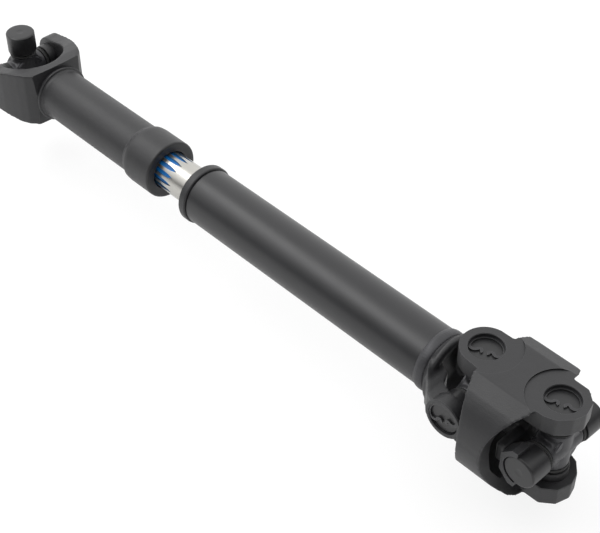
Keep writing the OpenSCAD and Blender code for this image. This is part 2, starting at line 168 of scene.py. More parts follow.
def block(low, high):
    """A box between two corners, in millimetres."""
    bpy.ops.object.select_all(action="DESELECT")
    bpy.ops.mesh.primitive_cube_add(size=1)
    obj = bpy.context.object
    obj.scale = [(b - a) * MM for a, b in zip(low, high)]
    obj.location = [(a + b) / 2 * MM for a, b in zip(low, high)]
    return settle(obj)


print("stock solids: cylinder and block")

# %% [markdown]
# ### Profiles and outlines
# A chain of edges is drawn by extruding one vertex from point to point. Spun round an
# axis it becomes a turned part, and filled and extruded it becomes a plate.
# %% Spinning a profile and extruding an outline


def chain(points):
    """Draws a chain of edges by extruding one vertex from point to point, in edit mode."""
    bpy.ops.object.select_all(action="DESELECT")
    bpy.ops.mesh.primitive_plane_add(size=MM)
    bpy.ops.object.mode_set(mode="EDIT")
    bpy.ops.mesh.select_mode(type="VERT")
    bpy.ops.mesh.select_all(action="SELECT")
    bpy.ops.mesh.merge(type="CENTER")
    here = Vector((0, 0, 0))
    for i, point in enumerate(points):
        step = (Vector(point) - here) * MM
        if i == 0:
            bpy.ops.transform.translate(value=step)
        else:
            bpy.ops.mesh.extrude_region_move(TRANSFORM_OT_translate={"value": step})
        here = Vector(point)
    return bpy.context.object


def turned(profile, along="z", at=(0, 0, 0), steps=128, closed=False):
    """Spins a profile of (distance, radius) points round its axis, as on a lathe."""
    points = [(radius, 0, distance) for distance, radius in profile]
    obj = chain(points + points[:1] if closed else points)
    bpy.ops.mesh.select_all(action="SELECT")
    bpy.ops.mesh.spin(steps=steps, angle=2 * math.pi, center=(0, 0, 0), axis=(0, 0, 1))
    bpy.ops.mesh.select_all(action="SELECT")
    bpy.ops.mesh.remove_doubles(threshold=0.002 * MM)
    bpy.ops.mesh.normals_make_consistent(inside=False)
    bpy.ops.object.mode_set(mode="OBJECT")
    return place(obj, along, at)


def plate(outline, low, high, along="z"):
    """Fills an outline and extrudes it from low to high along y or z."""
    if along == "z":
        points = [(a, b, low) for a, b in outline]
        step = Vector((0, 0, high - low))
    else:
        points = [(a, low, b) for a, b in outline]
        step = Vector((0, high - low, 0))
    obj = chain(points)
    bpy.ops.mesh.select_all(action="SELECT")
    bpy.ops.mesh.edge_face_add()
    bpy.ops.mesh.extrude_region_move(TRANSFORM_OT_translate={"value": step * MM})
    bpy.ops.mesh.select_all(action="SELECT")
    bpy.ops.mesh.normals_make_consistent(inside=False)
    bpy.ops.object.mode_set(mode="OBJECT")
    return obj


def arc(centre, radius, first, last, steps=12):
    """Points on an arc, with its angles in degrees."""
    angles = [math.radians(first + (last - first) * i / steps) for i in range(steps + 1)]
    return [(centre[0] + radius * math.cos(a), centre[1] + radius * math.sin(a)) for a in angles]


print("a quarter arc of radius 1 has", len(arc((0, 0), 1, 0, 90)), "points")

# %% [markdown]
# ### Joining, cutting and forging
# Welds, drills and mills are booleans. A forging has no sharp edges, and a voxel remesh
# with a few rounds of smoothing rounds them all at once, as a worn die does, so blunt
# shapes are forged first and machined faces are cut afterwards.
# %% Booleans and the forging step


def boolean(obj, other, operation):
    """Combines obj with other, which is used up."""
    apply_modifier(obj, "BOOLEAN", operation=operation, solver="MANIFOLD", object=other)
    bpy.data.objects.remove(other)
    return obj


def weld(obj, *others):
    """Adds other solids to obj."""
    for other in others:
        boolean(obj, other, "UNION")
    return obj


def cut(obj, *others):
    """Takes other solids away from obj."""
    for other in others:
        boolean(obj, other, "DIFFERENCE")
    return obj


def keep_inside(obj, *others):
    """Keeps only what obj shares with the others."""
    for other in others:
        boolean(obj, other, "INTERSECT")
    return obj


def forge(obj, grain=1.0, rounds=6):
    """Rounds every edge and corner of a block as a forging die does."""
    apply_modifier(obj, "REMESH", mode="VOXEL", voxel_size=grain * MM, adaptivity=0)
    apply_modifier(obj, "SMOOTH", factor=0.5, iterations=rounds)
    return obj


print("welds, cuts and forging are ready")

# %% [markdown]
# ### Copies and finished pieces
# What repeats is modelled once and copied with its own mesh. A finished piece is shaded
# smooth up to an angle, with normals that follow its large faces, and then hung on the
# CAD body that carries it.
# %% Copying, joining and finishing


def copy_of(obj):
    """A copy with its own mesh."""
    twin = obj.copy()
    twin.data = obj.data.copy()
    bpy.context.scene.collection.objects.link(twin)
    return twin


def join(objects):
    """Makes one object of several, without changing their shapes."""
    pick(objects[0])
    for obj in objects[1:]:
        obj.select_set(True)
    bpy.ops.object.join()
    return bpy.context.object


def done(obj, name, body, slot, material, *nodes, angle=35):
    """Names a finished piece, shades it, gives it its finish and hangs it on its body."""
    pick(obj)
    bpy.ops.object.shade_smooth_by_angle(angle=math.radians(angle))
    apply_modifier(obj, "WEIGHTED_NORMAL", mode="FACE_AREA", weight=50, keep_sharp=True)
    obj.name = name
    obj.data.name = name
    obj.data.materials.clear()
    obj.data.materials.append(material)
    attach(obj, body)
    if nodes:
        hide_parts(*nodes)
    print(name, len(obj.data.polygons), "faces on", body)
    return obj


# %% [markdown]
# ## Finishes
# Nearly everything is drop-forged or drawn steel under one coat of satin black paint.
# The forging scale under the paint shows as a faint roughness, so paint is a dark base
# with a bump of two sizes of noise and a slow change of tone and gloss. Every finish
# uses that skin with its own values, so it is one group of nodes.
# %% Forged skin
mottle_scale = 45.0
noise_detail = 3.0


def new_material(name):
    """A new node material, with its nodes, its links and its shader."""
    material = bpy.data.materials.new(name)
    material.use_nodes = True
    nodes = material.node_tree.nodes
    return material, nodes, material.node_tree.links, nodes["Principled BSDF"]


def skin_group():
    """Forged skin: object coordinates in, a height and a slow mottle out."""
    group = bpy.data.node_groups.new("forged_skin", "ShaderNodeTree")
    for name, value in (("Coarse Scale", 120.0), ("Fine Scale", 900.0), ("Fine Share", 0.35)):
        socket = group.interface.new_socket(name, in_out="INPUT", socket_type="NodeSocketFloat")
        socket.default_value = value
    group.interface.new_socket("Height", in_out="OUTPUT", socket_type="NodeSocketFloat")
    group.interface.new_socket("Mottle", in_out="OUTPUT", socket_type="NodeSocketFloat")
    nodes, links = group.nodes, group.links
    inside, outside = nodes.new("NodeGroupInput"), nodes.new("NodeGroupOutput")
    place_node = nodes.new("ShaderNodeTexCoord")
    coarse, fine, mottle = [nodes.new("ShaderNodeTexNoise") for _ in range(3)]
    for noise in (coarse, fine, mottle):
        links.new(place_node.outputs["Object"], noise.inputs["Vector"])
        noise.inputs["Detail"].default_value = noise_detail
    mottle.inputs["Scale"].default_value = mottle_scale
    links.new(inside.outputs["Coarse Scale"], coarse.inputs["Scale"])
    links.new(inside.outputs["Fine Scale"], fine.inputs["Scale"])
    mix = nodes.new("ShaderNodeMix")
    links.new(inside.outputs["Fine Share"], mix.inputs["Factor"])
    links.new(coarse.outputs["Fac"], mix.inputs["A"])
    links.new(fine.outputs["Fac"], mix.inputs["B"])
    links.new(mix.outputs["Result"], outside.inputs["Height"])
    links.new(mottle.outputs["Fac"], outside.inputs["Mottle"])
    return group


SKIN = skin_group()
print("shared group:", SKIN.name)

# %% [markdown]
# Handling rubs paint thin on outer edges. A Bevel node bends the normal only near an
# edge, so where the bent and the true normal differ there is an edge, and Pointiness
# then tells an outer edge from an inner corner. Large flats stay even this way.
# %% Edge wear
flat_dot = 0.99
worn_dot = 0.86
outer_pointiness = 0.505


def wear_group():
    """Edge wear: a mask that is 1 on outer edges and fades out over a short width."""
    group = bpy.data.node_groups.new("edge_wear", "ShaderNodeTree")
    socket = group.interface.new_socket("Width", in_out="INPUT", socket_type="NodeSocketFloat")
    socket.default_value = 0.5 * MM
    group.interface.new_socket("Mask", in_out="OUTPUT", socket_type="NodeSocketFloat")
    nodes, links = group.nodes, group.links
    inside, outside = nodes.new("NodeGroupInput"), nodes.new("NodeGroupOutput")
    geometry = nodes.new("ShaderNodeNewGeometry")
    rounded = nodes.new("ShaderNodeBevel")
    links.new(inside.outputs["Width"], rounded.inputs["Radius"])
    bent = nodes.new("ShaderNodeVectorMath")
    bent.operation = "DOT_PRODUCT"
    links.new(rounded.outputs["Normal"], bent.inputs[0])
    links.new(geometry.outputs["Normal"], bent.inputs[1])
    near_edge = nodes.new("ShaderNodeMapRange")
    near_edge.inputs["From Min"].default_value = flat_dot
    near_edge.inputs["From Max"].default_value = worn_dot
    links.new(bent.outputs["Value"], near_edge.inputs["Value"])
    outer = nodes.new("ShaderNodeMath")
    outer.operation = "GREATER_THAN"
    outer.inputs[1].default_value = outer_pointiness
    links.new(geometry.outputs["Pointiness"], outer.inputs[0])
    mask = nodes.new("ShaderNodeMath")
    mask.operation = "MULTIPLY"
    links.new(near_edge.outputs["Result"], mask.inputs[0])
    links.new(outer.outputs[0], mask.inputs[1])
    links.new(mask.outputs[0], outside.inputs["Mask"])
    return group


WEAR = wear_group()
print("shared group:", WEAR.name)

# %% [markdown]
# One function builds every finish from these two groups. Two tones mix with the mottle,
# a third shows on rubbed edges, and gloss and bump follow the skin. The shader itself
# stays in the material, and what is the same all over is set straight on its sockets.
# %% Builder of finishes


def skinned_metal(name, dark, light, worn, rough, bump, metallic=0.0, coarse=120.0, fine=900.0):
    """A finish over forged skin, with its bump in millimetres, lighter where edges are rubbed."""
    material, nodes, links, shader = new_material(name)
    skin, wear = nodes.new("ShaderNodeGroup"), nodes.new("ShaderNodeGroup")
    skin.node_tree, wear.node_tree = SKIN, WEAR
    skin.inputs["Coarse Scale"].default_value = coarse
    skin.inputs["Fine Scale"].default_value = fine
    tone, rub = nodes.new("ShaderNodeMix"), nodes.new("ShaderNodeMix")
    for mix in (tone, rub):
        mix.data_type = "RGBA"
    tone.inputs["A"].default_value = (*dark, 1)
    tone.inputs["B"].default_value = (*light, 1)
    rub.inputs["B"].default_value = (*worn, 1)
    links.new(skin.outputs["Mottle"], tone.inputs["Factor"])
    links.new(tone.outputs["Result"], rub.inputs["A"])
    links.new(wear.outputs["Mask"], rub.inputs["Factor"])
    links.new(rub.outputs["Result"], shader.inputs["Base Color"])
    gloss = nodes.new("ShaderNodeMapRange")
    gloss.inputs["To Min"].default_value = rough[0]
    gloss.inputs["To Max"].default_value = rough[1]
    links.new(skin.outputs["Mottle"], gloss.inputs["Value"])
    links.new(gloss.outputs["Result"], shader.inputs["Roughness"])
    bumps = nodes.new("ShaderNodeBump")
    bumps.inputs["Strength"].default_value = 1.0
    bumps.inputs["Distance"].default_value = bump * MM
    links.new(skin.outputs["Height"], bumps.inputs["Height"])
    links.new(bumps.outputs["Normal"], shader.inputs["Normal"])
    shader.inputs["Metallic"].default_value = metallic
    return material


print("a finish has two tones, a worn tone, a range of roughness and a bump")

# %% [markdown]
# The black paint comes in three grades: thick and grainy on forgings, smooth on the
# drawn tube, and thin on the ground caps. The crosses show the darkened steel itself.
# %% Black paints
forged_paint = skinned_metal(
    "forged_paint",
    dark=(0.013, 0.013, 0.014), light=(0.021, 0.021, 0.023), worn=(0.07, 0.07, 0.074),
    rough=(0.40, 0.54), bump=0.3,
)
smooth_paint = skinned_metal(
    "smooth_paint",
    dark=(0.012, 0.012, 0.013), light=(0.018, 0.018, 0.020), worn=(0.04, 0.04, 0.044),
    rough=(0.34, 0.42), bump=0.05, coarse=60.0, fine=700.0,
)
cap_paint = skinned_metal(
    "cap_paint",
    dark=(0.010, 0.010, 0.011), light=(0.016, 0.016, 0.017), worn=(0.05, 0.05, 0.05),
    rough=(0.34, 0.46), bump=0.06, coarse=90.0, fine=1200.0,
)
dark_steel = skinned_metal(
    "dark_steel",
    dark=(0.03, 0.03, 0.032), light=(0.055, 0.055, 0.06), worn=(0.12, 0.12, 0.13),
    rough=(0.35, 0.5), bump=0.2, metallic=0.35,
)
print("dark finishes:", [m.name for m in (forged_paint, smooth_paint, cap_paint, dark_steel)])

# %% [markdown]
# The spline is ground bright, its grooves hold a blue nylon coat against wear, and the
# small parts are oiled spring steel, zinc plate, rubber and pale nylon.
# %% Bare metals, coat and rubber
spring_steel = skinned_metal(
    "spring_steel",
    dark=(0.03, 0.03, 0.032), light=(0.045, 0.045, 0.048), worn=(0.12, 0.12, 0.12),
    rough=(0.3, 0.4), bump=0.03, metallic=0.4,
)
bright_steel = skinned_metal(
    "bright_steel",
    dark=(0.40, 0.39, 0.365), light=(0.50, 0.49, 0.46), worn=(0.6, 0.6, 0.6),
    rough=(0.24, 0.36), bump=0.02, metallic=1.0, coarse=200.0, fine=1500.0,
)
zinc = skinned_metal(
    "zinc",
    dark=(0.5, 0.52, 0.56), light=(0.62, 0.63, 0.66), worn=(0.7, 0.7, 0.7),
    rough=(0.3, 0.4), bump=0.03, metallic=1.0,
)
blue_nylon = skinned_metal(
    "blue_nylon",
    dark=(0.0, 0.12, 0.40), light=(0.0, 0.17, 0.52), worn=(0.01, 0.2, 0.6),
    rough=(0.4, 0.5), bump=0.06, fine=1500.0,
)
rubber = skinned_metal(
    "rubber",
    dark=(0.012, 0.012, 0.012), light=(0.02, 0.02, 0.02), worn=(0.03, 0.03, 0.03),
    rough=(0.6, 0.75), bump=0.05,
)
nylon = skinned_metal(
    "nylon",
    dark=(0.62, 0.6, 0.54), light=(0.7, 0.68, 0.62), worn=(0.75, 0.73, 0.7),
    rough=(0.4, 0.5), bump=0.04,
)
print("finishes:", [m.name for m in bpy.data.materials])

# %% [markdown]
# ## Tube with its welds
# The long tube is one drawn steel pipe. At one end it is welded over the stub shaft's
# pilot: there the weld is ground to a smooth rounded rim. At the other end the weld that
# holds the tube yoke is left as laid, with fine ripples.
# %% Drive tube and ground rim
rim_start = tube_start - 7.5
rim_end = tube_start + 1.0
rim_r = tube_r + 1.6
rim_bore_r = 19.0
front_round = 2.2
back_round = 1.6
tube_wall = 3

tube = turned(
    [
        (rim_end - 2, tube_r - tube_wall), (rim_end - 2, tube_r - 0.7),
        (rim_end + 0.7, tube_r - 0.7), (rim_end + 1.4, tube_r), (tube_end - 0.3, tube_r),
        (tube_end - 0.3, tube_r - tube_wall),
    ],
    along="x",
    closed=True,
)
done(tube, "drive_tube", "shaft", "black_paint", smooth_paint, "main_tube")

front_arc = arc((0, 0), front_round, 0, 90, 5)
back_arc = arc((0, 0), back_round, 0, 90, 5)
rim = turned(
    [
        (rim_start - 0.6, rim_bore_r), (rim_start - 0.6, tube_r - 4.5), (rim_start, tube_r - 2.6),
        *[(rim_start + front_round - x, rim_r - front_round + y) for x, y in front_arc],
        *[(rim_end - back_round + y, rim_r - back_round + x) for x, y in back_arc],
        (rim_end, tube_r - 1), (rim_end, rim_bore_r),
    ],
    along="x",
    closed=True,
)
done(rim, "stub_rim", "shaft", "black_paint", forged_paint, "stub_weld_bead")

# %% [markdown]
# A weld bead is a row of overlapping ripples. A ring is spun in many narrow steps, and
# every third row of its crest, along a slightly bowed line, is pressed in a little.
# %% Yoke weld bead
bead_in = tube_end - 4
bead_out = tube_end + 5
bead_half = 5
bead_rise = 1.35
bead_steps = 216
ripple_rows = 3
ripple_bow = 2.2
ripple_dip = 0.16

bead = turned(
    [
        (bead_in, tube_r - 1), (bead_in, tube_r + 0.1),
        (bead_in + 1.2, tube_r + bead_rise * 0.62), (bead_in + 3.0, tube_r + bead_rise * 0.93),
        (tube_end, tube_r + bead_rise), (bead_out - 3.0, tube_r + bead_rise * 0.93),
        (bead_out - 1.2, tube_r + bead_rise * 0.62), (bead_out, tube_r + 0.1),
        (bead_out, tube_r - 1),
    ],
    along="x",
    steps=bead_steps,
    closed=True,
)
pick(bead)
bpy.ops.object.mode_set(mode="EDIT")
bpy.ops.mesh.select_mode(type="VERT")
bpy.ops.mesh.select_all(action="DESELECT")
bpy.ops.object.mode_set(mode="OBJECT")
for vertex in bead.data.vertices:
    angle = math.atan2(vertex.co.z, vertex.co.y)
    lean = (vertex.co.x / MM - tube_end) / bead_half
    row = round((angle / (2 * math.pi) * bead_steps) - ripple_bow * lean * lean)
    crest = math.hypot(vertex.co.y, vertex.co.z) / MM > tube_r + 0.5
    vertex.select = crest and row % ripple_rows == 0
bpy.ops.object.mode_set(mode="EDIT")
lower = 1 - ripple_dip / (tube_r + bead_rise)
bpy.ops.transform.resize(value=(1, lower, lower), center_override=(0, 0, 0))
bpy.ops.object.mode_set(mode="OBJECT")
done(bead, "yoke_weld", "shaft", "black_paint", dark_steel, "yoke_weld_bead", angle=60)

# %% [markdown]
# ## Bearing caps
# Twelve identical cups close the ends of the crosses. One is turned on the lathe, with a
# small chamfer and a faint ring on its flat end, and is then copied to every trunnion.
# %% One cap and its copies
cap_mouth_r = 10.9
cap_model = turned(
    [
        (cap_out - 0.15, 0), (cap_out - 0.15, 3.2), (cap_out, 3.9), (cap_out, cap_r - 1.6),
        (cap_out - 0.25, cap_r - 0.9), (cap_out - 0.9, cap_r - 0.2), (cap_out - 1.4, cap_r),
        (cap_in + 0.5, cap_r), (cap_in, cap_r - 0.5), (cap_in, cap_mouth_r),
        (cap_in + 1.0, cap_mouth_r), (cap_in + 1.0, 0),
    ],
    steps=96,
)


def caps(name, spots, body, node):
    """Copies of the cap on the given (axis, x) spots as one piece."""
    copies = [place(copy_of(cap_model), way, (x, 0, 0)) for way, x in spots]
    piece = join(copies) if len(copies) > 1 else copies[0]
    return done(piece, name, body, "cap_black", cap_paint, node, angle=25)


centre_spots = [(way, x) for x in (first_x, second_x) for way in ("z", "-z")]
caps("free_cap_top", [("z", 0)], "upper_cap", "upper_free_cap")
caps("free_cap_bottom", [("-z", 0)], "lower_cap", "lower_free_cap")
caps("slip_caps", [("y", 0), ("-y", 0)], "slip", "slip_yoke_caps")
caps("tube_side_caps", [("y", first_x), ("-y", first_x)], "shaft", "tube_yoke_caps")
caps("outer_caps", [("y", second_x), ("-y", second_x)], "centring", "outer_free_caps")
caps("centre_caps", centre_spots, "centre", "centre_yoke_caps")
bpy.data.objects.remove(cap_model)

# %% [markdown]
# ## Snap rings
# An internal snap ring is a flat spring band. It follows its groove most of the way
# round, and then each end swings inward and curls back into a hook for the pliers. The
# band's middle line is walked like a road: an arc is a radius and an angle to turn.
# %% Walking the middle line
band_half = 1.08
band_r = cap_r + 0.85 - band_half
hook_start = 95
hook_bends = [(4.0, -150), (1.8, 190)]


def walk(bends, start, heading, stride=6):
    """Points and headings along arcs of (radius, degrees), left turns counted positive."""
    x, y = start
    way = math.radians(heading)
    steps = [(x, y, way)]
    for radius, turn in bends:
        count = max(2, int(abs(turn) / stride))
        turn_step = math.radians(turn / count)
        chord = 2 * radius * math.sin(abs(turn_step) / 2)
        for _ in range(count):
            x += chord * math.cos(way + turn_step / 2)
            y += chord * math.sin(way + turn_step / 2)
            way += turn_step
            steps.append((x, y, way))
    return steps


half_band = walk([(band_r, hook_start - 180)] + hook_bends, (-band_r, 0), 90)
print("half a ring is walked in", len(half_band), "points")

# %% [markdown]
# The half band gets its width to both sides of the line and is mirrored, filled and
# extruded. All rings sit with their hooks turned the same way from the shaft's line.
# %% One snap ring and its copies
hook_turn = 70


def ring_model():
    """A snap ring round +Z, at the height of its groove outside the cap."""
    outer = [(x - band_half * math.sin(a), y + band_half * math.cos(a)) for x, y, a in half_band]
    inner = [(x + band_half * math.sin(a), y - band_half * math.cos(a)) for x, y, a in half_band]
    outline = outer + inner[::-1]
    outline += [(x, -y) for x, y in inner[1:]] + [(x, -y) for x, y in outer[:0:-1]]
    band = plate(outline, cap_out + 0.03, cap_out + 1.44)
    return apply_modifier(band, "BEVEL", width=0.22 * MM, segments=2)


def ring_set(name, spots, body, node):
    """Snap rings on the given (axis, x) spots as one piece."""
    rings = join([place(copy_of(ring), way, (x, 0, 0)) for way, x in spots])
    return done(rings, name, body, "spring_steel", spring_steel, node, angle=30)


ring = ring_model()
pick(ring)
bpy.ops.object.mode_set(mode="EDIT")
bpy.ops.mesh.select_all(action="SELECT")
bpy.ops.transform.rotate(
    value=math.radians(hook_turn), orient_axis="Z", center_override=(0, 0, 0)
)
bpy.ops.object.mode_set(mode="OBJECT")
ring_set("slip_rings", [("y", 0), ("-y", 0)], "slip", "slip_yoke_snap_rings")
ring_set("tube_side_rings", [("y", first_x), ("-y", first_x)], "shaft", "tube_yoke_snap_rings")
ring_set("centre_rings", centre_spots, "centre", "centre_yoke_snap_rings")
bpy.data.objects.remove(ring)

# %% [markdown]
# ## Crosses
# A cross is one forging: four round trunnions, a turned shoulder under each seal, and a
# low round boss on each face that is machined flat. Arms are joined while they are
# blunt, remeshed and smoothed like a forging, and the machined parts are then added crisp.
# %% One cross and its copies
boss_r = 16.0
boss_top = 10.3
boss_edge = 0.7
shoulder_r = 12.3
shoulder_end = 17.2
trunnion_r = 8.4
# a nipple leans at 45 degrees, and the side of its head adds 1.4 to its reach
nipple_top = -span("inboard_cross_nipple", 2)[0] * math.sqrt(2) - 1.4
nipple_seat = nipple_top - 7.2
nipple_boss_r = 3.6
ARMS = ("y", "-y", "z", "-z")
cross_places = [
    ("single", 0, "single_joint_cross", (0, -math.pi / 4, 0)),
    ("inboard", first_x, "inboard_joint_cross", (math.pi * 3 / 4, 0, 0)),
    ("outboard", second_x, "outboard_joint_cross", (math.pi * 3 / 4, 0, 0)),
]


def tipped(obj, turn, x):
    """Turns a piece made along +Z by its own angles and moves it to a joint."""
    obj.rotation_euler = turn
    obj.location = (x * MM, 0, 0)
    return settle(obj)


def cross_arms():
    """The whole cross at the origin, without the seat of its nipple."""
    core = cylinder(-boss_top + 1.6, boss_top - 1.6, boss_r + 1.0, along="x", sides=64)
    for way in ARMS:
        weld(core, cylinder(0, shoulder_end, shoulder_r, along=way, sides=64))
    forge(core, grain=0.9, rounds=5)
    for way in ARMS:
        weld(core, cylinder(5, trunnion_end, trunnion_r, along=way, sides=64))
    boss = [
        (5, 0), (5, boss_r), (boss_top - boss_edge, boss_r), (boss_top, boss_r - boss_edge),
        (boss_top, 0),
    ]
    for way in ("x", "-x"):
        weld(core, turned(boss, along=way, steps=96))
    return core


cross_model = cross_arms()
for name, x, body, turn in cross_places:
    cross = place(copy_of(cross_model), at=(x, 0, 0))
    weld(cross, tipped(cylinder(8, nipple_seat, nipple_boss_r, sides=40), turn, x))
    done(cross, name + "_cross_body", body, "forged_grey", dark_steel, name + "_cross")
bpy.data.objects.remove(cross_model)

# %% [markdown]
# A seal sits on each shoulder with its thin lip turned towards the cap, so a spun profile
# with a groove in it shows as a black rubber ring under every cap.
# %% Seals
seal_base = 17.7
seal_bore_r = 8.6
seal_model = turned(
    [
        (seal_base, seal_bore_r), (seal_base, 12.0), (seal_base + 0.5, 12.5),
        (seal_base + 1.5, 12.7), (seal_base + 2.0, 12.2), (seal_base + 2.3, 12.2),
        (seal_base + 2.7, 12.6), (cap_in - 0.9, 12.4), (cap_in - 0.35, 11.8),
        (cap_in - 0.35, seal_bore_r),
    ],
    steps=72,
    closed=True,
)
for name, x, body, _ in cross_places:
    four = join([place(copy_of(seal_model), way, (x, 0, 0)) for way in ARMS])
    done(four, name + "_seals", body, "seal_rubber", rubber, name + "_cross_seals", angle=30)
bpy.data.objects.remove(seal_model)

# %% [markdown]
# ## Splined stub and seal housing
# The stub is ground bright steel. Each spline groove is cut by a hob, whose round edge
# leaves a pointed run-out. The cutter is one narrow bar whose end is extruded in a few
# steps, each narrower and higher, and it is copied round the shaft.
# %% Cutter for the grooves
spline_r = 17.5
groove_depth = 2.3
groove_floor = spline_r - groove_depth
groove_w = 3.9
groove_count = 16
runout = 11.0
# each step of a run-out: its share of the length, how it narrows and how far it rises
groove_points = [(0.4, 0.84, 0.1), (0.3, 0.6, 0.35), (0.3, 0.1, 1.5)]


def groove_bar(start, floor, width, top, points):
    """A bar along +X whose end narrows and rises to a point, as a hob leaves it."""
    half = width / 2
    bar = block((start, -half, floor), (spline_end - runout, half, top))
    pick(bar)
    bpy.ops.object.mode_set(mode="EDIT")
    bpy.ops.mesh.select_mode(type="FACE")
    bpy.ops.mesh.select_all(action="DESELECT")
    bpy.ops.object.mode_set(mode="OBJECT")
    for face in bar.data.polygons:
        face.select = face.normal.x > 0.9
    bpy.ops.object.mode_set(mode="EDIT")
    for step, narrow, rise in points:
        bpy.ops.mesh.extrude_region_move(
            TRANSFORM_OT_translate={"value": (runout * step * MM, 0, rise * MM)}
        )
        bpy.ops.transform.resize(value=(1, narrow, 1))
    bpy.ops.object.mode_set(mode="OBJECT")
    return bar


def round_shaft(bar):
    """Copies a bar that lies on +Z to every groove, all joined as one piece."""
    bars = []
    for i in range(groove_count):
        twin = copy_of(bar)
        twin.rotation_euler = ((i + 0.5) * 2 * math.pi / groove_count, 0, 0)
        bars.append(settle(twin))
    bpy.data.objects.remove(bar)
    return join(bars)


print(groove_count, "grooves, floor at radius", groove_floor)

# %% [markdown]
# The stub itself is turned with a chamfer on its free end and a pilot that goes into the
# tube. All grooves are cut from it at once.
# %% Stub shaft with its grooves
pilot_r = 12.0
stub = turned(
    [
        (spline_start, 0), (spline_start, spline_r - 2.5), (spline_start + 2.5, spline_r),
        (rim_start + 1, spline_r), (rim_start + 1, pilot_r), (rim_end, pilot_r), (rim_end, 0),
    ],
    along="x",
)
hob = groove_bar(spline_start - 2, groove_floor, groove_w, spline_r + 3, groove_points)
cut(stub, round_shaft(hob))
done(stub, "splined_stub", "shaft", "bare_steel", bright_steel, "stub_shaft", angle=30)

# %% [markdown]
# The coat is sprayed on the floor of each groove and ends just before the point, where
# the steel stays bare. The same bar, lower and a little narrower, makes its strips.
# %% Blue coat on the groove floors
coat_t = 0.45
coat_inset = 0.1
coat_points = [(0.4, 0.82, 0.1), (0.33, 0.12, 0.3)]
coat = groove_bar(
    spline_start + 3, groove_floor - coat_inset, groove_w - coat_inset, groove_floor + coat_t, coat_points
)
coats = round_shaft(coat)
done(coats, "groove_coats", "shaft", "blue_coating", blue_nylon, "spline_coating", angle=30)

# %% [markdown]
# The seal housing is a pressed shell over the barrel's end. It swells from the barrel in
# a short shoulder and ends in a rolled lip with a dark flat seal face just inside.
# %% Seal housing
barrel_r = 23.9
shell_bore_r = 19.4
shell_mouth_r = 17.85
lip_round = 2.0
lip_arc = arc((0, 0), lip_round, 0, 90, 6)
housing = turned(
    [
        (housing_start, shell_bore_r), (housing_start - 6.0, barrel_r + 0.05),
        (housing_start - 4.0, barrel_r + 0.5), (housing_start - 2.2, barrel_r + 1.6),
        (housing_start - 0.6, barrel_r + 2.8), (housing_start + 1.6, housing_r - 0.3),
        (housing_start + 4.5, housing_r),
        *[(housing_end - lip_round + y, housing_r - lip_round + x) for x, y in lip_arc],
        (housing_end - 0.1, 22.0), (housing_end - 0.5, 21.4), (housing_end - 0.5, 18.6),
        (housing_end - 2.5, shell_mouth_r), (housing_end - 8.0, shell_mouth_r),
        (housing_end - 8.0, shell_bore_r),
    ],
    along="x",
    closed=True,
)
done(housing, "seal_shell", "slip", "black_paint", forged_paint, "seal_housing")

# %% [markdown]
# ## Slip yoke
# The slip yoke is a drop forging: a U-shaped fork in front, then a round barrel. Its
# fork is drawn as one solid seen from above, crossed with the fork's side outline and
# hollowed to a U, and it is remeshed and smoothed so that every edge gets a forging
# radius.
# %% Fork of the slip yoke
crotch = 46.0
slip_ear_r = 19.0
fork_back = 59.5
fork_swing_r = 51.0


def mirrored(side):
    """A closed outline from its +Y side, walked to its -Y side."""
    return side + [(x, -y) for x, y in reversed(side)]


slip_side = [
    (-slip_ear_r - 0.5, ear_out - 3.5), (-slip_ear_r + 2.5, ear_out + 0.1), (13.5, ear_out + 0.1),
    (23.0, ear_out - 1.6), (32.5, ear_out - 4.4), (41.0, ear_out - 7.4), (48.5, ear_out - 10.8),
    (52.5, ear_out - 15.0), (fork_back, 20.0),
]
fork = plate(mirrored(slip_side), -50, 50)
ears = plate(
    [
        *arc((0, 0), slip_ear_r + 0.1, 90, 270, 24),
        (18, -21.5), (38, -25.2), (fork_back + 2, -26.5), (fork_back + 2, 28.8), (44, 28.6),
        (30, 26.2), (14, 21.8),
    ],
    -80,
    80,
    along="y",
)
keep_inside(fork, ears)
keep_inside(fork, cylinder(-40, 90, fork_swing_r, along="x"))
hollow_end = arc((crotch - ear_in, 0), ear_in, 90, -90, 28)
cut(fork, plate([(-60, ear_in), *hollow_end, (-60, -ear_in)], -60, 60))
forge(fork, grain=1.0, rounds=6)
print("fork of the slip yoke:", len(fork.data.polygons), "faces")

# %% [markdown]
# The back of the fork is steep and turned round the barrel, where the die's parting
# leaves a narrow ledge. So a turned ring is cut away behind the fork, and the barrel
# with its ledge is welded in.
# %% Steep back, ledge and barrel of the slip yoke
ledge_r = barrel_r + 3.1
ledge_end = fork_back + 1.0
recess_r = barrel_r + 1.0
recess_end = fork_back + 15
bore_r = 17.7
bore_end = housing_start - 80
back_cut = turned(
    [
        (fork_back - 7.5, 70), (fork_back - 6.5, 45), (fork_back - 5.5, 38),
        (fork_back - 4.9, 33), (fork_back - 4.6, 30), (fork_back - 4.4, 27),
        (fork_back - 3.6, recess_r), (recess_end, recess_r), (recess_end, 70),
    ],
    along="x",
    closed=True,
)
cut(fork, back_cut)
barrel = turned(
    [
        (crotch + 3, 0), (crotch + 3, 24), (fork_back - 4, recess_r + 0.02),
        (fork_back - 1.0, recess_r + 0.02), (fork_back - 0.7, ledge_r - 0.4),
        (fork_back - 0.3, ledge_r), (ledge_end - 0.6, ledge_r), (ledge_end, ledge_r - 0.6),
        (ledge_end + 0.3, barrel_r + 1.2), (ledge_end + 1.2, barrel_r + 0.5),
        (ledge_end + 3.0, barrel_r), (housing_start + 3.0, barrel_r),
        (housing_start + 3.0, bore_r), (bore_end, bore_r), (bore_end, 0),
    ],
    along="x",
)
weld(fork, barrel)
print("fork with its barrel:", len(fork.data.polygons), "faces")

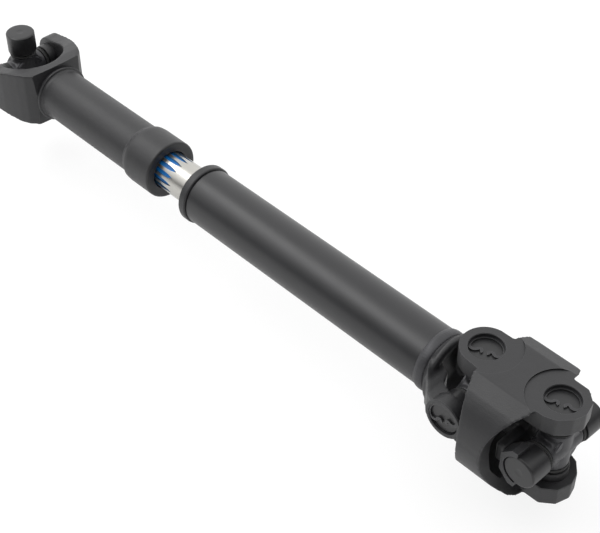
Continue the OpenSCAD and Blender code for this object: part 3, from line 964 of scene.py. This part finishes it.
# %% [markdown]
# Every ear of the shaft is machined in the same way: a bore for the cap, a groove for
# the snap ring just outside the cap, and a countersink at the ear's face. The three
# cutters are made by one function, which all three yokes use.
# %% Bores of the slip yoke
groove_wide = 1.5
groove_deep = 0.9
sink_long = 2.0


def bore_cutters(way, x, sink_start):
    """The drill, the groove cutter and the countersink for one ear."""
    at = (x, 0, 0)
    return [
        cylinder(20, 70, cap_r + 0.01, along=way, at=at),
        cylinder(cap_out, cap_out + groove_wide, cap_r + groove_deep, along=way, at=at),
        cylinder(sink_start, sink_start + sink_long, cap_r, end_radius=cap_r + sink_long, along=way, at=at),
    ]


for way in ("y", "-y"):
    cut(fork, *bore_cutters(way, 0, ear_out - 0.8))
done(fork, "slip_fork", "slip", "black_paint", forged_paint, "slip_yoke", angle=32)

# %% [markdown]
# ## Tube yoke
# The tube yoke is a short forging: a ring that is welded to the tube, a thin flared
# flange that is hollow in front, and two straps that sweep out to round ears. Straps
# and flange are joined while they are blunt and then forged together.
# %% Straps and flange of the tube yoke
tube_ear_out = cap_out + 2.2
tube_ear_r = 16.9
ring_back = tube_end - first_x


def tube_strap(side):
    """One strap seen from above, from the flange out to its ear, for one side of Y."""
    outline = [
        (-34.5, 12.0), (-34.0, 22.0), (-30.0, 28.5), (-25.0, 33.0), (-19.5, tube_ear_out - 4.2),
        (-13.5, tube_ear_out - 0.8), (11.0, tube_ear_out - 0.8), (15.0, tube_ear_out - 3.5),
        (16.0, ear_in + 0.8), (0.0, ear_in + 0.2), (-8.0, ear_in - 2.2), (-16.5, 23.5),
        (-21.5, 14.0),
    ]
    return plate([(x + first_x, side * y) for x, y in outline], -40, 40)


strap_side = [
    (-36, 24.0), (-31, 19.5), (-25, 14.0), (-18, 11.6), (-9, 12.4),
    (0, 15.6), (8, 13.6), (13.0, 9.0), (15.6, 0),
]
strap_outline = [(x + first_x, z) for x, z in strap_side]
strap_outline += [(x, -z) for x, z in reversed(strap_outline[:-1])]
tube_fork = weld(tube_strap(1), tube_strap(-1))
keep_inside(tube_fork, plate(strap_outline, -60, 60, along="y"))
flare = turned(
    [
        (ring_back - 1, 0), (ring_back - 1, tube_r - 0.3), (ring_back + 5.6, tube_r - 0.3),
        (-33.6, tube_r + 1.2), (-31.8, tube_r + 4.6), (-29.6, tube_r + 5.0),
        (-27.4, tube_r + 3.4), (-27.0, tube_r - 1.0), (-29.5, 21.5), (-34.0, 17.0), (-35.0, 8.0),
        (-35.0, 0),
    ],
    along="x",
    at=(first_x, 0, 0),
)
weld(tube_fork, flare)
forge(tube_fork, grain=0.9, rounds=5)
print("straps and flange:", len(tube_fork.data.polygons), "faces")

# %% [markdown]
# The ears are machined bosses, so they are added crisp to the forging before their bores
# are cut. A bridge in front of the cross ties both ears and carries the ball stud.
# %% Ears, bores and bridge of the tube yoke
for way in ("y", "-y"):
    ear = turned(
        [
            (ear_in + 2, 0), (ear_in + 2, tube_ear_r - 0.6), (ear_in + 4, tube_ear_r),
            (tube_ear_out - 0.8, tube_ear_r), (tube_ear_out, tube_ear_r - 0.8), (tube_ear_out, 0),
        ],
        along=way,
        at=(first_x, 0, 0),
        steps=72,
    )
    weld(tube_fork, ear)
    cut(tube_fork, *bore_cutters(way, first_x, tube_ear_out - 0.5))
bridge_half = 8.5
bridge = block((first_x + 14.8, -42, -bridge_half), (first_x + 21.5, 42, bridge_half))
keep_inside(bridge, cylinder(-20, 20, 41, at=(first_x, 0, 0)))
apply_modifier(bridge, "BEVEL", width=1.5 * MM, segments=3)
weld(tube_fork, bridge)
done(tube_fork, "tube_fork", "shaft", "black_paint", forged_paint, "tube_yoke", angle=32)

# %% [markdown]
# ## Centre yoke
# The centre yoke couples the two crosses of the double joint. It starts as a bar whose
# section is a circle with two wide flats and a slope beside each flat. Two big round
# windows, of different radius, are milled through its sides.
# %% Bar and side windows of the centre yoke
flat_near = 25.0
flat_far = 21.0
slope_wide = 13.0
slope_drop = 5.4
bar_half = (second_x - first_x) / 2 - 7
section = [
    (flat_far, centre_flat), (flat_far + slope_wide, centre_flat - slope_drop),
    *arc((0, 0), centre_r, 46, 0, 12),
    *arc((0, 0), centre_r, -8, -47, 10),
    (flat_near, -centre_flat), (-flat_far, -centre_flat),
    (-flat_far - slope_wide, -centre_flat + slope_drop),
    *arc((0, 0), centre_r, 226, 180, 12),
    *arc((0, 0), centre_r, 172, 133, 10),
    (-flat_near, centre_flat),
]
yoke = plate(section, -bar_half, bar_half)
yoke.rotation_euler = (math.pi / 2, 0, math.pi / 2)
yoke.location = (middle_x * MM, 0, 0)
settle(yoke)
# each window: where its rim crosses the middle height, and its radius
windows = {1: (middle_x + 8.2, 60.0), -1: (middle_x - 13.4, 95.0)}
for side, (rim_x, radius) in windows.items():
    window = cylinder(-70, 70, radius, along="y", at=(rim_x + side * radius, 0, 0), sides=200)
    cut(yoke, window)
print("bar with its windows:", len(yoke.data.polygons), "faces")

# %% [markdown]
# The ears round the bores are added next. The ones on the outboard side are faceted,
# with each corner given by its angle and its distance from the bore, and the inboard
# ones are round. Bar and ears are then forged as one.
# %% Ears of the centre yoke
outer_ear = [(90, 22.6), (64, 21.4), (31, 20.0), (0, 20.2), (-35, 20.6), (-70, 21.0)]
inner_ear = [(80 - 10 * i, 20.2) for i in range(17)]
ear_root = 34


def ear_prism(direction, top):
    """One ear round a bore, drawn back to the middle of the yoke."""
    points = [
        (direction * r * math.cos(math.radians(a)), -top * r * math.sin(math.radians(a)))
        for a, r in (outer_ear if direction > 0 else inner_ear)
    ]
    points = [(direction * -ear_root, -top * 23.0)] + points + [(direction * -ear_root, top * 20.5)]
    x = middle_x + direction * (second_x - first_x) / 2
    low, high = (ear_in - 0.5, centre_flat) if top > 0 else (-centre_flat, -ear_in + 0.5)
    return plate([(x + px, py) for px, py in points], low, high)


for direction in (1, -1):
    for top in (1, -1):
        weld(yoke, ear_prism(direction, top))
forge(yoke, grain=0.9, rounds=3)
print("centre yoke body:", len(yoke.data.polygons), "faces")

# %% [markdown]
# The machining comes last, so its edges stay sharp: a hollow through the middle, a
# shallow round spot face on the flats round each bore, and the bores themselves.
# %% Hollow, spot faces and bores of the centre yoke
hollow_r = 44.8
hollow_half = 41
spot_r = 27.5
spot_z = centre_flat - 1.4
hollow_bar = cylinder(-80, 80, hollow_r, along="x", at=(middle_x, 0, 0), sides=128)
hollow_low = (middle_x - 90, -hollow_half, -ear_in)
hollow_high = (middle_x + 90, hollow_half, ear_in)
keep_inside(hollow_bar, block(hollow_low, hollow_high))
cut(yoke, hollow_bar)
for way, x in centre_spots:
    spot_cutter = cylinder(spot_z, spot_z + 9, spot_r, along=way, at=(x, 0, 0), sides=128)
    cut(yoke, spot_cutter, *bore_cutters(way, x, spot_z - 0.5))
done(yoke, "centre_coupling", "centre", "black_paint", forged_paint, "centre_yoke", angle=30)

# %% [markdown]
# ## Centring yoke
# The centring yoke clamps the two outer caps between half-round saddles and reaches back
# to the ball with a round hub. Arms and hub are forged in one and the saddles are
# faceted outside, so each one looks like half an octagon round its cap.
# %% Centring yoke
hub_r = 15.5
hub_wall = 3.0
hub_start, hub_end = span("centring_yoke", 0)
arm_back = second_x - cap_r - 3.0
arm_thick = 8.5
arm_half = 9
saddle_r = cap_r + 4.3
saddle_front = second_x - 2.5
saddle_low = cap_out - 12.0
saddle_high = cap_out + 0.5


def saddle(side):
    """Half an octagon on the inboard side of one outer cap."""
    corners = [
        (saddle_front, saddle_r * 0.97), (second_x - saddle_r * 0.42, saddle_r * 0.97),
        (second_x - saddle_r * 0.92, saddle_r * 0.46),
    ]
    corners += [(x, -y) for x, y in reversed(corners)]
    low, high = (saddle_low, saddle_high) if side > 0 else (-saddle_high, -saddle_low)
    return plate(corners, low, high, along="y")


arm_low = (arm_back - arm_thick, -saddle_low - 8, -arm_half)
hanger = block(arm_low, (arm_back, saddle_low + 8, arm_half))
apply_modifier(hanger, "BEVEL", width=2 * MM, segments=3)
weld(hanger, cylinder(hub_start, arm_back, hub_r, along="x"))
forge(hanger, grain=0.9, rounds=3)
weld(hanger, saddle(1), saddle(-1))
for way in ("y", "-y"):
    cut(hanger, cylinder(10, 60, cap_r + 0.03, along=way, at=(second_x, 0, 0)))
hub_floor = min(hub_end, arm_back) - 3.0
cut(hanger, cylinder(hub_start - 2, hub_floor, hub_r - hub_wall, along="x"))
done(hanger, "centring_hanger", "centring", "black_paint", forged_paint, "centring_yoke", angle=32)

# %% [markdown]
# ## Grease nipples
# Each cross has one grease nipple in the corner between two arms: a hexagon, a thin neck
# and a small round head. It is turned and joined along +Z first, then tipped into place.
# %% One nipple and its copies
hex_r = 4.1
hex_top = nipple_seat + 2.4
nipple_model = cylinder(nipple_seat + 0.05, hex_top, hex_r, sides=6)
apply_modifier(nipple_model, "BEVEL", width=0.35 * MM, segments=2)
# the neck and head: height above the hexagon, and radius
head = [
    (-0.4, 0), (-0.4, 2.3), (1.0, 2.2), (1.3, 1.7), (1.9, 1.7), (2.4, 2.3),
    (3.0, 2.7), (3.6, 2.3), (4.3, 1.6), (4.7, 0.8), (4.7, 0),
]
weld(nipple_model, turned([(hex_top + d, r) for d, r in head], steps=40))
for name, x, body, turn in cross_places:
    nipple = tipped(copy_of(nipple_model), turn, x)
    done(nipple, name + "_grease_nipple", body, "zinc", zinc, name + "_cross_nipple")
bpy.data.objects.remove(nipple_model)

# %% [markdown]
# ## Finishes of the pieces inside
# Needles, plug, springs, seats and the centring ball keep their CAD shapes, which are
# already right. They are mostly hidden, and each one gets its finish here.
# %% Finishes of the carried-over pieces
polished_steel = skinned_metal(
    "polished_steel",
    dark=(0.52, 0.52, 0.53), light=(0.6, 0.6, 0.61), worn=(0.7, 0.7, 0.7),
    rough=(0.12, 0.2), bump=0.01, metallic=1.0, coarse=300.0, fine=2000.0,
)
inside_finishes = {
    "ball_stud": forged_paint,
    "centring_ball": polished_steel,
    "tube_yoke_needles": polished_steel,
    "slip_yoke_needles": polished_steel,
    "upper_cap_needles": polished_steel,
    "lower_cap_needles": polished_steel,
    "centre_yoke_needles": polished_steel,
    "outer_cap_needles": polished_steel,
    "barrel_plug": zinc,
    "slip_seal": rubber,
    "ball_seats": nylon,
    "seat_washer": zinc,
    "centring_spring": spring_steel,
    "socket_seal": rubber,
}
for node, finish in inside_finishes.items():
    carried = bpy.data.objects[node]
    for material_slot in carried.material_slots:
        material_slot.material = finish
print("finished", len(inside_finishes), "carried-over nodes")

# %% [markdown]
# ## Floor, light and camera
# Black paint shows its form only in what it mirrors, so the floor is pale and the
# surround is white. Where the camera looks straight at the paper, a share of plain glow
# is mixed in, which keeps it even and leaves only a faint shadow under the shaft.
# %% Floor
floor_z = -0.09
floor_size = 30
paper_white = (0.9, 0.9, 0.9, 1)
paper_glow = 1.05
glow_share = 0.72
bpy.ops.object.select_all(action="DESELECT")
bpy.ops.mesh.primitive_plane_add(size=floor_size, location=(0.3, 0, floor_z))
floor = bpy.context.object
floor.name = "floor"
floor_paper, paper_nodes, paper_links, floor_shader = new_material("floor_paper")
floor_shader.inputs["Base Color"].default_value = paper_white
floor_shader.inputs["Roughness"].default_value = 0.9
floor_shader.inputs["Specular IOR Level"].default_value = 0.0
lit_paper = paper_nodes.new("ShaderNodeEmission")
lit_paper.inputs["Strength"].default_value = paper_glow
paper_mix = paper_nodes.new("ShaderNodeMixShader")
paper_seen = paper_nodes.new("ShaderNodeLightPath")
paper_share = paper_nodes.new("ShaderNodeMath")
paper_share.operation = "MULTIPLY"
paper_share.inputs[1].default_value = glow_share
paper_links.new(paper_seen.outputs["Is Camera Ray"], paper_share.inputs[0])
paper_links.new(paper_share.outputs[0], paper_mix.inputs["Fac"])
paper_links.new(floor_shader.outputs["BSDF"], paper_mix.inputs[1])
paper_links.new(lit_paper.outputs["Emission"], paper_mix.inputs[2])
paper_links.new(paper_mix.outputs["Shader"], paper_nodes["Material Output"].inputs["Surface"])
floor.data.materials.append(floor_paper)
print("floor at", floor_z, "m")

# %% [markdown]
# The surround is a soft dome: brightest in one direction high up behind the shaft, and
# dark near the horizon, so each face mirrors a different grey. The camera itself sees
# plain white instead.
# %% Surround
dome_direction = (-0.40, 0.30, 0.86)
dome_dark, dome_bright = 0.06, 1.35
world = bpy.data.worlds.new("studio")
bpy.context.scene.world = world
world.use_nodes = True
sky_nodes, sky_links = world.node_tree.nodes, world.node_tree.links
direction = sky_nodes.new("ShaderNodeTexCoord")
towards = sky_nodes.new("ShaderNodeVectorMath")
towards.operation = "DOT_PRODUCT"
towards.inputs[1].default_value = Vector(dome_direction).normalized()
sky_links.new(direction.outputs["Generated"], towards.inputs[0])
dome = sky_nodes.new("ShaderNodeMapRange")
dome.interpolation_type = "SMOOTHSTEP"
dome.inputs["From Min"].default_value = 0.02
dome.inputs["From Max"].default_value = 0.55
dome.inputs["To Min"].default_value = dome_dark
dome.inputs["To Max"].default_value = dome_bright
sky_links.new(towards.outputs["Value"], dome.inputs["Value"])
seen = sky_nodes.new("ShaderNodeLightPath")
backdrop = sky_nodes.new("ShaderNodeMix")
backdrop.inputs["B"].default_value = 1.0
sky_links.new(seen.outputs["Is Camera Ray"], backdrop.inputs["Factor"])
sky_links.new(dome.outputs["Result"], backdrop.inputs["A"])
surround = sky_nodes["Background"]
surround.inputs["Color"].default_value = (1, 1, 1, 1)
sky_links.new(backdrop.outputs["Result"], surround.inputs["Strength"])
print("surround from", dome_dark, "to", dome_bright)

# %% [markdown]
# One large soft light hangs over the shaft. It is longer than the shaft, so its mirror
# image runs as one highlight along the whole tube.
# %% Soft light
light_at = (-0.35, -0.6, 1.25)
light_aim = (0.35, 0, 0)
light_power = 9
bpy.ops.object.select_all(action="DESELECT")
bpy.ops.object.light_add(type="AREA", location=light_at)
light = bpy.context.object
light.name = "softbox"
light.data.shape = "RECTANGLE"
light.data.size = 1.6
light.data.size_y = 0.5
light.data.energy = light_power
light_way = Vector(light_aim) - Vector(light_at)
light.rotation_euler = light_way.to_track_quat("-Z", "Y").to_euler()
print("softbox", round(light_way.length, 2), "m from its aim")

# %% [markdown]
# The camera stands above the double joint, beside the shaft, and looks back along it
# and down. Colours are shown as they are, with no film curve, so that the white
# surround stays white.
# %% Camera
camera_at = (0.9796, -0.5647, 0.7447)
camera_down = 42.5
camera_turn = 46.4
camera_lens = 81.06
bpy.ops.object.select_all(action="DESELECT")
bpy.ops.object.camera_add(
    location=camera_at,
    rotation=(math.radians(90 - camera_down), 0, math.radians(camera_turn)),
)
camera = bpy.context.object
camera.data.lens = camera_lens
camera.data.sensor_width = 36
bpy.context.scene.camera = camera
bpy.context.scene.view_settings.view_transform = "Standard"
print("camera at", camera_at, "looking", camera_down, "degrees down")
